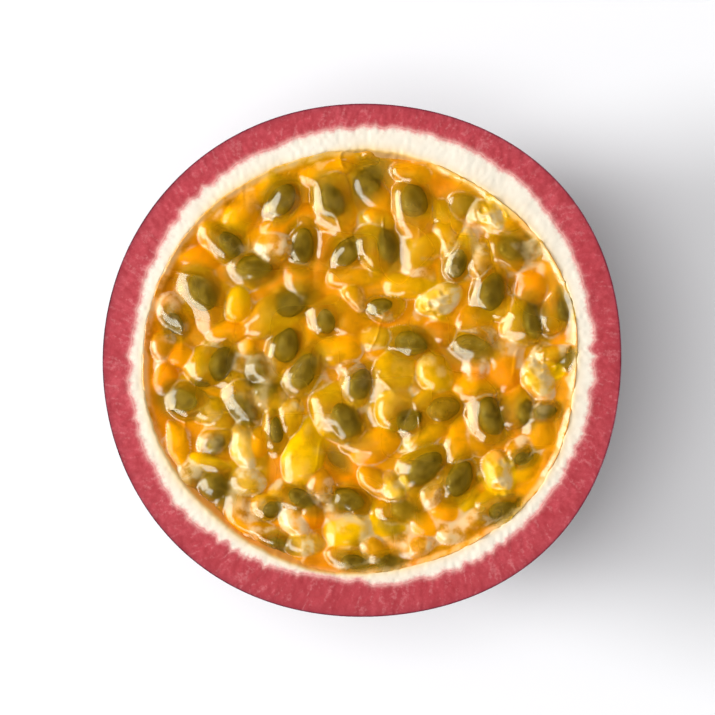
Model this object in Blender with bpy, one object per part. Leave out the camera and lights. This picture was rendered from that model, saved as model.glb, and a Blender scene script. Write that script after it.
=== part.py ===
"""A passion fruit half, lying on its rounded end with the cut face up.

Three solids nest in each other: the shell is a thick bowl, the pith is a thinner bowl that lines it,
and the pulp fills the pith with a bed of juice from which the seed sacs stand up.
Metres, +Z up, with the origin on the table under the middle of the fruit.
"""

import math
import random

import bmesh
import bpy
from mathutils import Euler, Matrix, Vector

MM = 0.001

# The cut face, seen from above, with angles in degrees from +X towards +Y
FRUIT_RADIUS = 32.55 * MM
SHELL_THICKNESS = 3.71 * MM
PITH_THICKNESS = 2.03 * MM
# Lobes of each line on the cut face: how many go round, how far they swell, where one of them points.
# One lobe alone moves the whole line that way.
FRUIT_LOBES = ((2, 0.20 * MM, 15), (3, 0.11 * MM, -58), (4, 0.29 * MM, 44), (5, 0.08 * MM, 31))
SHELL_EDGE_LOBES = ((1, 0.54 * MM, 96), (2, 0.28 * MM, 13), (3, 0.21 * MM, -51), (4, 0.23 * MM, 40))
PITH_EDGE_LOBES = ((1, 0.38 * MM, -148), (2, 0.39 * MM, 0), (5, 0.11 * MM, 29), (6, 0.17 * MM, 22))

# The fruit below the cut
FRUIT_DEPTH = 31.4 * MM
FRUIT_SQUARENESS = 2.12
FOOT_RISE = 0.5 * MM
BOTTOM_SHELL_THICKNESS = 3.6 * MM
BOTTOM_PITH_THICKNESS = 1.8 * MM
CUT_HEIGHT = FRUIT_DEPTH - FOOT_RISE
SHOULDER_LOBES = ((3, 0.30 * MM, 80), (5, 0.16 * MM, 10))

# Room between solids that touch in the real fruit
LAYER_GAP = 0.3 * MM
CUTTER_RISE = 6 * MM

# Juice
JUICE_BELOW_CUT = 1.05 * MM

# Seed sacs and lumps of pulp: x, y, heading, length, width, and how far the top stands over the cut,
# in millimetres and degrees. A sac narrows a little the way it heads.
SACS = (
    (-10.7, 19.3, 70, 6.8, 5, 0.3), (-18, 15.1, -48, 7.2, 4.5, 0.3), (-13.4, 11.8, 5, 7, 5, 0),
    (-11.5, 14.3, 0, 5.8, 4.8, 0.2), (-20.3, 7.8, -68, 10, 6, 0.4), (-20.7, 12.7, 0, 5.8, 3.8, 0),
    (-24.5, 6.1, -60, 6.2, 4.2, 0.2), (-19.3, -0.2, 20, 7.2, 5.8, 0.5), (-22.2, -5.2, -22, 7.5, 5.2, 0.4),
    (-15.4, -5.4, -55, 7.2, 5, 0.3), (-12.5, -1.7, -40, 6.2, 5, 0.2), (-9.7, 1.6, 80, 7.2, 5, 0),
    (-11, 6.2, 30, 11.2, 5.2, 0.4), (-12, -4.9, -20, 6, 4.8, 0.3), (-11.4, -8.7, 95, 5.8, 2.8, 0.3),
    (-9.2, -7.2, 80, 5.5, 3.6, 0.2), (-15, -10.7, -70, 6.2, 3.5, 0.2), (-25.4, -2.2, 90, 6.5, 3.8, -0.1),
    (-23.3, -10.8, 110, 7.5, 3.2, 0), (-18.7, -15.9, -40, 5.8, 5, 0.1), (-19.4, -12.8, -5, 6, 2.5, 0.1),
    (-14.7, -15, 0, 5.5, 4.2, 0.2), (-15.9, -18.2, 100, 5.8, 3.2, 0), (-12.2, -18.3, 30, 6, 4.2, 0.1),
    (-13.2, -20.9, -10, 5.8, 2.5, 0), (-11.5, -22.9, -15, 5.8, 3.2, 0), (-13.2, -10.4, 90, 4, 3.2, 0.2),
    (-7.5, -11.2, 78, 10.5, 5.2, 0.3), (-4, 18.7, -80, 10.5, 6, 0.5), (-7.7, 14.3, 80, 6.5, 3.8, -0.2),
    (-1.7, 13.3, 40, 6, 4, -0.1), (1.7, 14.3, -80, 7.2, 5.8, 0.4), (6, 18.2, -75, 10, 5.8, 0.4),
    (7.6, 14.1, 20, 6.2, 4.5, 0.1), (6.8, 24, -12, 6.8, 3, 0), (-5.2, 24.3, 10, 8, 3.5, -0.1),
    (-11.9, 22.3, 25, 7.5, 3.2, -0.1), (-15.8, 19.5, 62, 6.8, 3.8, 0.1), (2.1, 17.7, -10, 4.8, 2.5, -0.2),
    (12.6, 19.6, 0, 5.8, 4.2, -0.1), (15.3, 18.5, -20, 5, 3.5, 0.2), (18.3, 18.2, -20, 4.2, 2.8, 0),
    (18.8, 13.8, -8, 7.8, 5.8, 0), (15.6, 8.6, 75, 7.5, 5.2, 0.3), (12.1, 12.8, 72, 7.8, 4.2, 0.3),
    (14.7, 12.3, -80, 4.8, 3, 0.2), (10, 15, -80, 5.8, 3.5, 0.2), (9.6, 7.6, 20, 6.2, 4.5, 0.2),
    (19.7, 5.5, 100, 7.2, 5.8, 0.4), (25, 6.7, 85, 5.8, 3.2, 0), (13.6, 1.6, -5, 8, 5.8, 0),
    (15.1, -6.9, 100, 8, 5.5, 0.4), (22.2, -2.4, -60, 6, 4.2, 0.2), (22.5, -6.4, 30, 5.2, 3.5, 0.1),
    (19.6, -6, 75, 5.5, 3.5, 0.1), (25, 0.6, 20, 4.8, 3.2, 0), (10.1, -5.9, 20, 6.5, 5, 0),
    (5.3, 2.3, -5, 8, 4.8, 0.1), (4, -1.4, 70, 7.8, 5.2, 0.3), (4.2, -5.4, 80, 7.2, 4.8, 0.3),
    (5.8, -7.7, 10, 5.8, 5, 0), (-0.9, -3.2, 70, 5.8, 4.5, 0.3), (-2.9, 1.2, 0, 7, 4.5, 0.2),
    (-7.3, -1, 55, 8.5, 5, 0.4), (-3.4, -6.8, -55, 9.8, 6.2, 0.5), (-4.2, 6.2, 30, 6.5, 5, 0),
    (2.7, 6.7, 5, 5.8, 3.2, 0.2), (-1, 7.7, -70, 3.5, 2.2, 0.2), (9.1, -2.2, -60, 6.5, 5, 0.1),
    (1.5, 2.8, 10, 5.5, 3.5, 0), (6.8, -13.7, 40, 9, 6, 0.4), (11.5, -15, 60, 7.5, 5.2, 0.1),
    (-1.9, -17.4, -10, 6.5, 4.5, 0), (-1.7, -21.2, 20, 7.2, 5.5, 0.3), (-8.4, -17, -20, 6.5, 3.8, 0.2),
    (-8.7, -19.8, -60, 5.8, 3.5, 0.2), (-6.3, -19.5, 90, 4, 3.2, 0.1), (-1.4, -24.9, -10, 6.8, 3, 0),
    (5.2, -18.7, -5, 7.8, 4.5, 0), (8.3, -20.5, -10, 7.8, 4.5, 0), (8.7, -16.7, 45, 4.5, 3.2, 0.2),
    (3.8, -16, -40, 5.8, 3.8, 0.2), (1, -10.9, 20, 8, 5.2, 0.1), (-5.4, -15.8, -60, 5.2, 3.5, 0.2),
    (1.6, -24.2, -50, 5, 3.5, 0.1), (6.5, -23.8, 10, 5.5, 3.2, 0.1), (17.3, -18.7, 35, 6, 4, 0.2),
    (19.8, -11.3, 45, 5.2, 3.5, 0.1), (23.2, -9.9, 80, 7, 5.5, -0.1), (14.3, -20, 15, 5.2, 3, 0.1),
    (12.3, -22.2, 40, 5.2, 3.5, 0.1), (10.3, -18.9, 0, 6.2, 4.2, 0), (-7.5, -23.2, 0, 5.8, 3.5, 0.1),
    (-25.2, 2.1, 80, 4, 3, 0.2), (-19.3, -6.3, 0, 5, 4, 0.2), (-18.7, -10, 30, 4.8, 3.5, 0.2),
    (22.7, 10.7, 80, 7.5, 5, -0.4), (18.3, -0.2, 90, 8.8, 5.5, -0.4), (-7.9, 10.3, -60, 6.2, 3.8, -0.3),
    (-1, 10.7, 0, 7.5, 3.8, -0.3), (5.8, 9.5, 0, 7.5, 4.2, -0.2), (22.1, -13.7, 60, 7, 5, -0.2),
    (-1, 4.8, -5, 7.5, 3.8, -0.3), (-16.9, 3.8, 0, 6.2, 3.8, -0.2), (-23.5, 1.3, -30, 7, 4.2, -0.2),
    (7.7, -9.4, 30, 7, 4.2, 0), (12.1, -9.9, 80, 7.5, 4.5, -0.1), (13.3, -3.4, 0, 7, 4.5, -0.1),
    (-15.7, 7.3, 80, 4.8, 3.4, 0.1), (16.8, -14, -60, 6, 4.2, 0.2),
)
SAC_DEPTH_SHARE = 0.78
SAC_TAPER = 0.12
SAC_TILT = 9
SAC_TILT_SEED = 4207
SAC_WALL_CLEARANCE = 0.5 * MM

# Facets
OUTER_SEGMENTS = 64
OUTER_RINGS = 12
INNER_SEGMENTS = 64
INNER_RINGS = 8
SHARP_EDGE = math.radians(35)

SHELL_COLOUR = (0.50, 0.075, 0.09, 1)
PITH_COLOUR = (0.97, 0.84, 0.67, 1)
PULP_COLOUR = (0.80, 0.36, 0.01, 1)


def waves(lobes, angle):
    """Sum of the lobes' cosines at an angle in radians."""
    return sum(size * math.cos(count * (angle - math.radians(points))) for count, size, points in lobes)


def fruit_rim(angle):
    """Radius of the outer edge of the cut face."""
    return FRUIT_RADIUS + waves(FRUIT_LOBES, angle)


def shell_edge(angle):
    """Radius of the line between shell and pith on the cut face."""
    return FRUIT_RADIUS - SHELL_THICKNESS + waves(SHELL_EDGE_LOBES, angle)


def pith_edge(angle):
    """Radius of the line between pith and pulp on the cut face."""
    return FRUIT_RADIUS - SHELL_THICKNESS - PITH_THICKNESS + waves(PITH_EDGE_LOBES, angle)


def close_lid(shape):
    """Fills the open rim with one face."""
    open_edges = [edge for edge in shape.edges if edge.is_boundary]
    return bmesh.ops.contextual_create(shape, geom=open_edges)["faces"]


def cut_above(shape, height):
    """Removes what is above a height and leaves the shape open there."""
    every = shape.verts[:] + shape.edges[:] + shape.faces[:]
    level = (0, 0, height)
    bmesh.ops.bisect_plane(
        shape, geom=every, dist=1e-5, plane_co=level, plane_no=(0, 0, 1), clear_outer=True
    )


def make_object(name, shape):
    """Turns a bmesh into a smooth object whose own zero is the middle of the cut face."""
    bmesh.ops.recalc_face_normals(shape, faces=shape.faces)
    mesh = bpy.data.meshes.new(name)
    shape.to_mesh(mesh)
    shape.free()
    mesh.shade_smooth()
    mesh.set_sharp_from_angle(angle=SHARP_EDGE)
    made = bpy.data.objects.new(name, mesh)
    made.location.z = CUT_HEIGHT
    return made


def bowl(name, rim, depth, segments, rings, rise=0.0, foot=0.0, filled_to=0.0):
    """A solid bowl shape below the cut, whose rim radius is a function of the angle.

    It starts as the lower half of a sphere. Each point then goes to a superellipse between the rim and
    the pole. rise lifts the lid, for a cutter. foot is how much the pole is cut off flat. filled_to is
    the height of the lid where the bowl isn't full.
    """
    shape = bmesh.new()
    bmesh.ops.create_uvsphere(shape, u_segments=segments, v_segments=2 * rings, radius=1)
    cut_above(shape, 0)
    raised_points = []
    if rise:
        lid = close_lid(shape)
        raised = bmesh.ops.extrude_face_region(shape, geom=lid)["geom"]
        raised_points = [item for item in raised if isinstance(item, bmesh.types.BMVert)]
        bmesh.ops.delete(shape, geom=lid, context="FACES_ONLY")
    for point in shape.verts:
        angle = math.atan2(point.co.y, point.co.x)
        outward = min(1.0, math.hypot(point.co.x, point.co.y))
        downward = min(1.0, max(0.0, -point.co.z))
        shoulder = waves(SHOULDER_LOBES, angle) * outward * downward
        radius = (rim(angle) + shoulder) * outward ** (2 / FRUIT_SQUARENESS)
        height = -depth * downward ** (2 / FRUIT_SQUARENESS)
        point.co = (radius * math.cos(angle), radius * math.sin(angle), max(height, foot - depth))
    for point in raised_points:
        point.co.z = rise
    if not rise:
        if filled_to:
            cut_above(shape, filled_to)
        close_lid(shape)
    return make_object(name, shape)


def sac_layout():
    """Works out the sacs from their table, each with a small tilt and roll of its own.

    Returns position, heading, length, width, depth, tilt and roll, in metres and radians, with height
    counted from the cut face. A sac that would touch the pith moves in towards the middle.
    """
    chance = random.Random(SAC_TILT_SEED)
    sacs = []
    for x, y, heading, length, width, top in SACS:
        length, width, top = length * MM, width * MM, top * MM
        depth = width * SAC_DEPTH_SHARE
        heading = math.radians(heading)
        around = math.atan2(y, x)
        reach = math.hypot(length * math.cos(heading - around), width * math.sin(heading - around)) / 2
        away = min(math.hypot(x, y) * MM, pith_edge(around) - SAC_WALL_CLEARANCE - reach)
        place = Vector((away * math.cos(around), away * math.sin(around), top - depth / 2))
        tilt = math.radians(SAC_TILT) * chance.uniform(-1, 1)
        roll = math.radians(SAC_TILT) * chance.uniform(-1, 1)
        sacs.append((place, heading, length, width, depth, tilt, roll))
    return sacs


def seed_sac(place, heading, length, width, depth, tilt, roll):
    """One sac: an ellipsoid that narrows towards the end where it hung from the wall."""
    shape = bmesh.new()
    bmesh.ops.create_icosphere(shape, subdivisions=2, radius=0.5)
    for point in shape.verts:
        narrowing = 1 - SAC_TAPER * 2 * point.co.x
        point.co = (point.co.x * length, point.co.y * width * narrowing, point.co.z * depth)
    turned = Matrix.Translation(place) @ Euler((roll, tilt, heading)).to_matrix().to_4x4()
    bmesh.ops.transform(shape, matrix=turned, verts=shape.verts)
    return make_object("seed_sac", shape)


def material(name, colour, roughness):
    made = bpy.data.materials.new(name)
    made.use_nodes = True
    surface = made.node_tree.nodes["Principled BSDF"]
    surface.inputs["Base Color"].default_value = colour
    surface.inputs["Roughness"].default_value = roughness
    surface.inputs["Metallic"].default_value = 0
    return made


def hollow_out(solid, rim, depth, cutters):
    """Cuts the next layer's room out of a bowl."""
    cutter = bowl(solid.name + "_room", rim, depth, INNER_SEGMENTS, INNER_RINGS, rise=CUTTER_RISE)
    cutters.objects.link(cutter)
    cutter.hide_render = True
    cutter.display_type = "WIRE"
    cut = solid.modifiers.new("room_for_next_layer", "BOOLEAN")
    cut.operation = "DIFFERENCE"
    cut.object = cutter


def make_shell(fruit, cutters):
    """The thick red wall of the fruit, with its skin outside and a flat spot to rest on."""
    shell = bowl("shell", fruit_rim, FRUIT_DEPTH, OUTER_SEGMENTS, OUTER_RINGS, foot=FOOT_RISE)
    fruit.objects.link(shell)
    hollow_out(shell, shell_edge, FRUIT_DEPTH - BOTTOM_SHELL_THICKNESS, cutters)
    shell.data.materials.append(material("shell_flesh", SHELL_COLOUR, 0.55))


def make_pith(fruit, cutters):
    """The white lining of the shell."""
    depth = FRUIT_DEPTH - BOTTOM_SHELL_THICKNESS - LAYER_GAP
    pith = bowl("pith", lambda angle: shell_edge(angle) - LAYER_GAP, depth, INNER_SEGMENTS, INNER_RINGS)
    fruit.objects.link(pith)
    hollow_out(pith, pith_edge, depth - BOTTOM_PITH_THICKNESS, cutters)
    pith.data.materials.append(material("pith_flesh", PITH_COLOUR, 0.6))


def make_pulp(fruit):
    """The bed of juice, with the seed sacs joined to it by one union."""
    pulp = bowl(
        "pulp",
        lambda angle: pith_edge(angle) - LAYER_GAP,
        FRUIT_DEPTH - BOTTOM_SHELL_THICKNESS - BOTTOM_PITH_THICKNESS - 2 * LAYER_GAP,
        INNER_SEGMENTS,
        INNER_RINGS,
        filled_to=-JUICE_BELOW_CUT,
    )
    fruit.objects.link(pulp)
    sacs = bpy.data.collections.new("seed_sacs")
    bpy.context.scene.collection.children.link(sacs)
    for sac in sac_layout():
        sacs.objects.link(seed_sac(*sac))
    join = pulp.modifiers.new("sacs_on_juice", "BOOLEAN")
    join.operation = "UNION"
    join.operand_type = "COLLECTION"
    join.collection = sacs
    bpy.context.view_layer.objects.active = pulp
    bpy.ops.object.modifier_apply(modifier=join.name)
    for sac in list(sacs.objects):
        bpy.data.objects.remove(sac)
    bpy.data.collections.remove(sacs)
    pulp.data.materials.append(material("pulp_juice", PULP_COLOUR, 0.12))


def main():
    for leftover in list(bpy.data.objects):
        bpy.data.objects.remove(leftover)
    fruit = bpy.data.collections.new("passion_fruit_half")
    cutters = bpy.data.collections.new("cutters")
    bpy.context.scene.collection.children.link(fruit)
    bpy.context.scene.collection.children.link(cutters)
    make_shell(fruit, cutters)
    make_pith(fruit, cutters)
    make_pulp(fruit)


main()
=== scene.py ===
"""A passion fruit half seen from above, with the looks of its shell, pith and pulp.

The file is laid out as an add-on and is run as a script. Each operator makes one piece of the fruit as
a surface worked out on a grid of two parameters, and one makes the floor, the lights and the camera.
Lengths are in metres. Angles on the cut face are counted from +X towards +Y.
"""

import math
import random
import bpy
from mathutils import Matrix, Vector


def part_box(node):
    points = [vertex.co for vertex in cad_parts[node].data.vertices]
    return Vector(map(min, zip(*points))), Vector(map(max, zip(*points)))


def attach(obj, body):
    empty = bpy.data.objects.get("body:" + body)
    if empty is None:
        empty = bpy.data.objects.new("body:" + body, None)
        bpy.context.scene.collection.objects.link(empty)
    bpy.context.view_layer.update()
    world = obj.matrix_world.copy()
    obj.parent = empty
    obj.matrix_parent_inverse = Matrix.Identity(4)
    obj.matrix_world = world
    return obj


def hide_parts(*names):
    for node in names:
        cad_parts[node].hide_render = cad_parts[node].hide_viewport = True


bl_info = {
    "name": "Passion Fruit Half",
    "version": (1, 0, 0),
    "blender": (4, 5, 0),
    "location": "3D View > Sidebar > Fruit",
    "description": "Makes the shell, the pith and the pulp of a passion fruit half",
    "category": "Add Mesh",
}

import bpy
import numpy as np
from mathutils import Vector

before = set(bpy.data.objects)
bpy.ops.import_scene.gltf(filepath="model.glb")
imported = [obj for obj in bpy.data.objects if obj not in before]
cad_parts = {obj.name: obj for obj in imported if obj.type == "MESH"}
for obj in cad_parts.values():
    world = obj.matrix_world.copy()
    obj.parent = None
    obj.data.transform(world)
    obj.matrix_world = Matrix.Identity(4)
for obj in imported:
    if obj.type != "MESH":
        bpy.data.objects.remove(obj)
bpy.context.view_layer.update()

MM = 0.001
CUT_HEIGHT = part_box("shell")[1][2]

# Lobes of each line on the cut face: how many go round, how far they swell, where one of them points
FRUIT_LOBES = ((2, 0.20 * MM, 15), (3, 0.11 * MM, -58), (4, 0.29 * MM, 44), (5, 0.08 * MM, 31))
SHELL_EDGE_LOBES = ((1, 0.54 * MM, 96), (2, 0.28 * MM, 13), (3, 0.21 * MM, -51), (4, 0.23 * MM, 40))
PITH_EDGE_LOBES = ((1, 0.38 * MM, -148), (2, 0.39 * MM, 0), (5, 0.11 * MM, 29), (6, 0.17 * MM, 22))
SHOULDER_LOBES = ((3, 0.30 * MM, 80), (5, 0.16 * MM, 10))
FRUIT_SQUARENESS = 2.12

# Seed sacs and lumps of pulp: x, y, heading, length, width, and how far the top stands over the cut,
# then how cloudy, how orange and how veiled each is, from 0 to 10. The pale veils are whitish
# membranes, partly painted reflection. Lengths are in tenths of a millimetre and headings in degrees,
# as in the table of seeds below.
SACS = (
    (-107, 193, 70, 68, 50, 3, 1.5, 5, 3), (-180, 151, -48, 72, 45, 3, 2.5, 2, 3),
    (-134, 118, 5, 70, 50, 0, 1, 4, 0), (-115, 143, 0, 58, 48, 2, 5.5, 4, 8),
    (-203, 78, -68, 100, 60, 4, 2, 5, 2), (-207, 127, 0, 58, 38, 0, 10, 7, 0),
    (-245, 61, -60, 62, 42, 2, 1, 5, 4), (-193, -2, 20, 72, 58, 5, 1, 4, 2),
    (-222, -52, -22, 75, 52, 4, 1, 3, 2), (-154, -54, -55, 72, 50, 3, 1, 1, 3),
    (-125, -17, -40, 62, 50, 2, 1.5, 1, 4), (-97, 16, 80, 72, 50, 0, 1, 2, 1),
    (-110, 62, 30, 112, 52, 4, 1, 3, 1), (-120, -49, -20, 60, 48, 3, 2, 1, 4),
    (-114, -87, 95, 58, 28, 3, 0.5, 3, 2), (-92, -72, 80, 55, 36, 2, 2, 1, 4),
    (-150, -107, -70, 62, 35, 2, 8, 3, 10), (-254, -22, 90, 65, 38, -1, 10, 9, 0),
    (-233, -108, 110, 75, 32, 0, 9, 5, 0), (-187, -159, -40, 58, 50, 1, 0.5, 9, 0),
    (-194, -128, -5, 60, 25, 1, 9, 2, 1), (-147, -150, 0, 55, 42, 2, 3, 1, 8),
    (-159, -182, 100, 58, 32, 0, 9, 4, 0), (-122, -183, 30, 60, 42, 1, 1.5, 2, 3),
    (-132, -209, -10, 58, 25, 0, 9, 3, 0), (-115, -229, -15, 58, 32, 0, 1, 2, 2),
    (-132, -104, 90, 40, 32, 2, 10, 8, 0), (-75, -112, 78, 105, 52, 3, 10, 1, 2),
    (-40, 187, -80, 105, 60, 5, 1, 5, 2), (-77, 143, 80, 65, 38, -2, 0.5, 4, 0),
    (-17, 133, 40, 60, 40, -1, 0.5, 5, 0), (17, 143, -80, 72, 58, 4, 0.5, 3, 1),
    (60, 182, -75, 100, 58, 4, 1.5, 5, 2), (76, 141, 20, 62, 45, 1, 2, 1, 1),
    (68, 240, -12, 68, 30, 0, 10, 4, 0), (-52, 243, 10, 80, 35, -1, 9, 7, 0),
    (-119, 223, 25, 75, 32, -1, 10, 5, 0), (-158, 195, 62, 68, 38, 1, 10, 3, 0),
    (21, 177, -10, 48, 25, -2, 9, 7, 0), (126, 196, 0, 58, 42, -1, 3, 3, 0),
    (153, 185, -20, 50, 35, 2, 10, 3, 8), (183, 182, -20, 42, 28, 0, 9, 5, 9),
    (188, 138, -8, 78, 58, 0, 3, 5, 0), (156, 86, 75, 75, 52, 3, 1, 4, 1),
    (121, 128, 72, 78, 42, 3, 1.5, 1, 4), (147, 123, -80, 48, 30, 2, 5, 3, 8),
    (100, 150, -80, 58, 35, 2, 3, 1, 4), (96, 76, 20, 62, 45, 2, 10, 3, 8),
    (197, 55, 100, 72, 58, 4, 1, 3, 1), (250, 67, 85, 58, 32, 0, 1, 5, 2),
    (136, 16, -5, 80, 58, 0, 2.5, 5, 0), (151, -69, 100, 80, 55, 4, 1, 4, 1),
    (222, -24, -60, 60, 42, 2, 10, 5, 8), (225, -64, 30, 52, 35, 1, 2, 5, 4),
    (196, -60, 75, 55, 35, 1, 1, 5, 2), (250, 6, 20, 48, 32, 0, 3, 4, 5),
    (101, -59, 20, 65, 50, 0, 3, 6, 1), (53, 23, -5, 80, 48, 1, 2.5, 1, 1),
    (40, -14, 70, 78, 52, 3, 4, 0.5, 2), (42, -54, 80, 72, 48, 3, 4, 1, 2),
    (58, -77, 10, 58, 50, 0, 1, 4, 0), (-9, -32, 70, 58, 45, 3, 0.5, 3, 3),
    (-29, 12, 0, 70, 45, 2, 10, 4, 0), (-73, -10, 55, 85, 50, 4, 1, 2, 2),
    (-34, -68, -55, 98, 62, 5, 1, 3, 1), (-42, 62, 30, 65, 50, 0, 1, 2, 2),
    (27, 67, 5, 58, 32, 2, 2, 2, 4), (-10, 77, -70, 35, 22, 2, 2, 4, 4),
    (91, -22, -60, 65, 50, 1, 6, 1, 3), (15, 28, 10, 55, 35, 0, 5, 1, 6),
    (68, -137, 40, 90, 60, 4, 1, 3, 1), (115, -150, 60, 75, 52, 1, 1, 3, 0),
    (-19, -174, -10, 65, 45, 0, 1.5, 5, 1), (-17, -212, 20, 72, 55, 3, 10, 1, 4),
    (-84, -170, -20, 65, 38, 2, 1, 3, 2), (-87, -198, -60, 58, 35, 2, 9, 4, 10),
    (-63, -195, 90, 40, 32, 1, 10, 8, 0), (-14, -249, -10, 68, 30, 0, 1, 4, 2),
    (52, -187, -5, 78, 45, 0, 3, 5, 0), (83, -205, -10, 78, 45, 0, 9.5, 7, 0),
    (87, -167, 45, 45, 32, 2, 5, 4, 9), (38, -160, -40, 58, 38, 2, 5, 5, 9),
    (10, -109, 20, 80, 52, 1, 9, 7, 0), (-54, -158, -60, 52, 35, 2, 2, 5, 5),
    (16, -242, -50, 50, 35, 1, 3, 4, 5), (65, -238, 10, 55, 32, 1, 6, 5, 9),
    (173, -187, 35, 60, 40, 2, 1, 2, 2), (198, -113, 45, 52, 35, 1, 3, 3, 5),
    (232, -99, 80, 70, 55, -1, 10, 5, 0), (143, -200, 15, 52, 30, 1, 5, 4, 6),
    (123, -222, 40, 52, 35, 1, 6, 4, 9), (103, -189, 0, 62, 42, 0, 9, 7, 0),
    (-75, -232, 0, 58, 35, 1, 3, 1, 8), (-252, 21, 80, 40, 30, 2, 2, 5, 5),
    (-193, -63, 0, 50, 40, 2, 2, 2, 3), (-187, -100, 30, 48, 35, 2, 1, 3, 4),
    (227, 107, 80, 75, 50, -4, 8, 9, 0), (183, -2, 90, 88, 55, -4, 8, 9, 0),
    (-79, 103, -60, 62, 38, -3, 8, 8, 0), (-10, 107, 0, 75, 38, -3, 5, 6, 0),
    (58, 95, 0, 75, 42, -2, 5, 3, 0), (221, -137, 60, 70, 50, -2, 9, 5, 0),
    (-10, 48, -5, 75, 38, -3, 2, 4, 0), (-169, 38, 0, 62, 38, -2, 9, 7, 0),
    (-235, 13, -30, 70, 42, -2, 9, 8, 0), (77, -94, 30, 70, 42, 0, 6, 4, 0),
    (121, -99, 80, 75, 45, -1, 9, 6, 0), (133, -34, 0, 70, 45, -1, 9, 5, 0),
    (-157, 73, 80, 48, 34, 1, 10, 2, 1), (168, -140, -60, 60, 42, 2, 10, 5, 8),
)
TENTHS = 10
SAC_DEPTH_SHARE = 0.78
SAC_TAPER = 0.12
SAC_TILT = 9
SAC_TILT_SEED = 4207
SAC_WALL_CLEARANCE = 0.5 * MM

# Seeds: x, y, heading, length, width, and how far each lies under the wet surface
SEEDS = (
    (-103, 202, 55, 45, 32, 7), (-167, 146, 130, 38, 28, 5), (-137, 116, 5, 48, 32, 9),
    (-203, 85, 120, 52, 34, 6), (-237, 47, 110, 32, 22, 6), (-178, -3, 70, 45, 32, 8),
    (-227, -50, -10, 42, 31, 4), (-153, -62, 118, 48, 30, 5), (-137, -17, 85, 42, 28, 7),
    (-97, 20, 80, 48, 32, 7), (-90, 73, 25, 50, 34, 7), (-122, -37, 20, 32, 22, 12),
    (-109, -87, 95, 35, 18, 4), (-185, -159, -45, 45, 38, 3), (-113, -185, 25, 30, 20, 5),
    (-108, -232, -5, 32, 21, 3), (-40, 201, 112, 50, 32, 6), (6, 225, 52, 52, 35, 0.5),
    (-77, 143, 82, 50, 30, 5), (-20, 137, 42, 48, 30, 4), (30, 143, 105, 50, 30, 5),
    (62, 200, 100, 45, 35, 10), (126, 195, 0, 40, 28, 14), (190, 140, -8, 52, 34, 10),
    (161, 86, 75, 52, 34, 4), (117, 122, 70, 40, 25, 8), (212, 51, 105, 50, 31, 6),
    (253, 68, 85, 42, 24, 5), (136, 17, -6, 52, 32, 10), (160, -69, 108, 52, 35, 6),
    (227, -64, 10, 32, 18, 4), (203, -65, 90, 35, 22, 6), (255, 1, 40, 28, 18, 5),
    (100, -60, 15, 45, 30, 12), (60, 22, -6, 45, 30, 9), (56, -74, 20, 35, 31, 6),
    (-4, -29, 70, 42, 30, 7), (-75, -13, 58, 52, 32, 5), (-22, -74, 125, 50, 34, 6),
    (-47, 50, 95, 32, 25, 9), (20, 67, 10, 35, 19, 6), (77, -134, 42, 55, 35, 6),
    (120, -148, 65, 50, 32, 6), (-20, -175, -10, 45, 28, 9), (-77, -173, -30, 40, 22, 4),
    (-10, -252, -8, 40, 19, 4), (52, -187, -5, 38, 28, 12), (31, -252, 10, 35, 20, 9),
    (175, -188, 14, 42, 26, 4), (201, -122, 20, 28, 18, 6), (-184, -105, 40, 28, 19, 6),
    (-202, -28, 0, 22, 11, 6), (-33, -124, -45, 30, 18, 13), (35, -207, -50, 30, 18, 13),
)
SEED_LOOKS_SEED = 77

# Wrinkled pale patches of the wet surface: x, y and radius
CRINKLES = ((22.7, -1.8, 2.6), (17.1, -14.3, 2.6), (9.6, 7.0, 2.4), (16.5, 18.6, 2.4), (4, -16, 1.8))

# Small lumps of pulp that fill the room between the sacs
LUMP_SPACING = 4.0 * MM
LUMP_TOP = -0.55 * MM
LUMP_TOP_SPREAD = 0.9 * MM

# Grids: points round the rings of shell and pith, cells across the jelly and the juice bed, rows and
# columns of one seed, and random numbers along each side of a noise pattern before it repeats
COLUMNS = 1280
JELLY_CELLS = 300
BED_CELLS = 120
SEED_ROWS, SEED_COLUMNS = 14, 24
LATTICE_SIDE = 97

# The bowls under the cut: how much shorter each inner one is than the fruit, and steps from the pole
SHELL_BOTTOM = 3.6 * MM
PITH_BOTTOM = 3.9 * MM
PITH_WALL_BOTTOM = 5.7 * MM
PULP_BOTTOM = 6 * MM
HIDDEN_TIPS = np.radians([4, 20, 40, 60, 74, 84])

# The rounded rim of the shell: how far in from the rim each ring lies, and how far below the cut
LIP_IN = (0.03 * MM, 0.10 * MM, 0.22 * MM)
LIP_DROP = (0.03 * MM, 0.008 * MM, 0)
# How far the pith reaches under the flesh, and how far its inner edge is rounded off
TUCK = 0.12 * MM
ROUND_OFF = 0.16 * MM
# Fibres in the flesh: length, and how many lie side by side round the fruit
FIBRE_LENGTH = 1.3 * MM
FIBRE_CELLS = 6 * LATTICE_SIDE

# How far the jelly reaches into the pith, and how far the juice bed stays clear of it
JELLY_OVERLAP = 0.12 * MM
BED_CLEARANCE = 0.7 * MM
# How far from the wall the juice starts to climb it, and how steeply a lump falls outside its outline
JUICE_CLIMB = 1.5 * MM
OUTSIDE_FALL = 2.0
# How much narrower a seed gets towards its tip, half its height as a share of its width, and how much
# of the sink in the table it is given
SEED_TAPER = 0.18
SEED_FLATNESS = 0.36
SEED_SINK_SHARE = 0.6

# The wet gloss of the jelly. The golden tint keeps rough reflections from turning to a white haze.
WET_GLOSS = {
    "Specular_IOR_Level": 0.03,
    "Specular_Tint": (1.0, 0.75, 0.14, 1.0),
    "Coat_Weight": 1.0,
    "Coat_Roughness": 0.12,
    "Coat_IOR": 1.5,
}

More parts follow.
